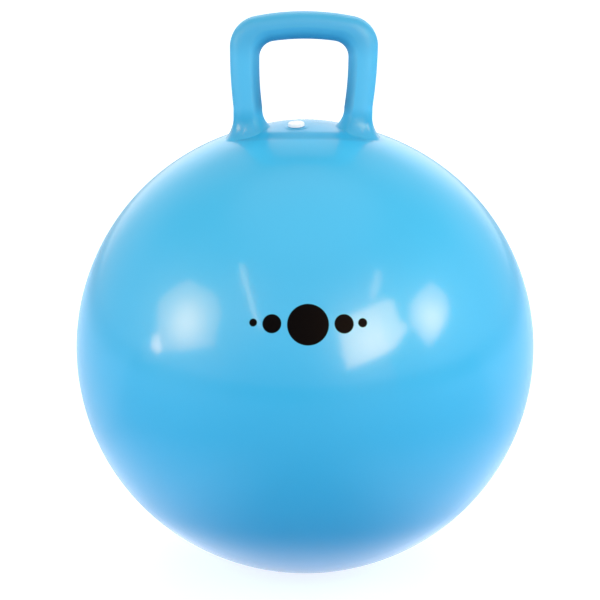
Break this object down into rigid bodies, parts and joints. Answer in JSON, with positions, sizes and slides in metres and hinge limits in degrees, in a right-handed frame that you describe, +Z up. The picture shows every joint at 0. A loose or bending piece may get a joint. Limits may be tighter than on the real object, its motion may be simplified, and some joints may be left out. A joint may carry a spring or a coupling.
{
  "type": "hopper ball",
  "caption": "Blow-up hopper ball with a flat foot, a hollow square loop handle on top to hold on to, and a push-in air plug between the handle's feet.",
  "frame": {"origin": "centre of the flat foot that the ball stands on", "axes": "+Z up through the handle, the handle's loop lies in the XZ plane, and the printed front faces -Y"},
  "size_m": [0.45, 0.45, 0.5512],
  "materials": {
    "ball_skin": "glossy soft PVC, sky blue, with a plain black print of round dots on the front",
    "handle": "glossy soft PVC, sky blue, as the skin",
    "valve_seat": "glossy soft PVC, sky blue",
    "valve_plug": "satin white polyethylene"
  },
  "bodies": {
    "ball": {"ball_skin": "ball_skin", "handle": "handle", "valve_seat": "valve_seat"},
    "plug": {"valve_plug": "valve_plug"}
  },
  "joints": [
    {"name": "plug_pull", "type": "slide", "parent": "ball", "child": "plug", "axis": [-0.0364, -0.052, 0.998], "range_m": [0, 0.025]}
  ]
}
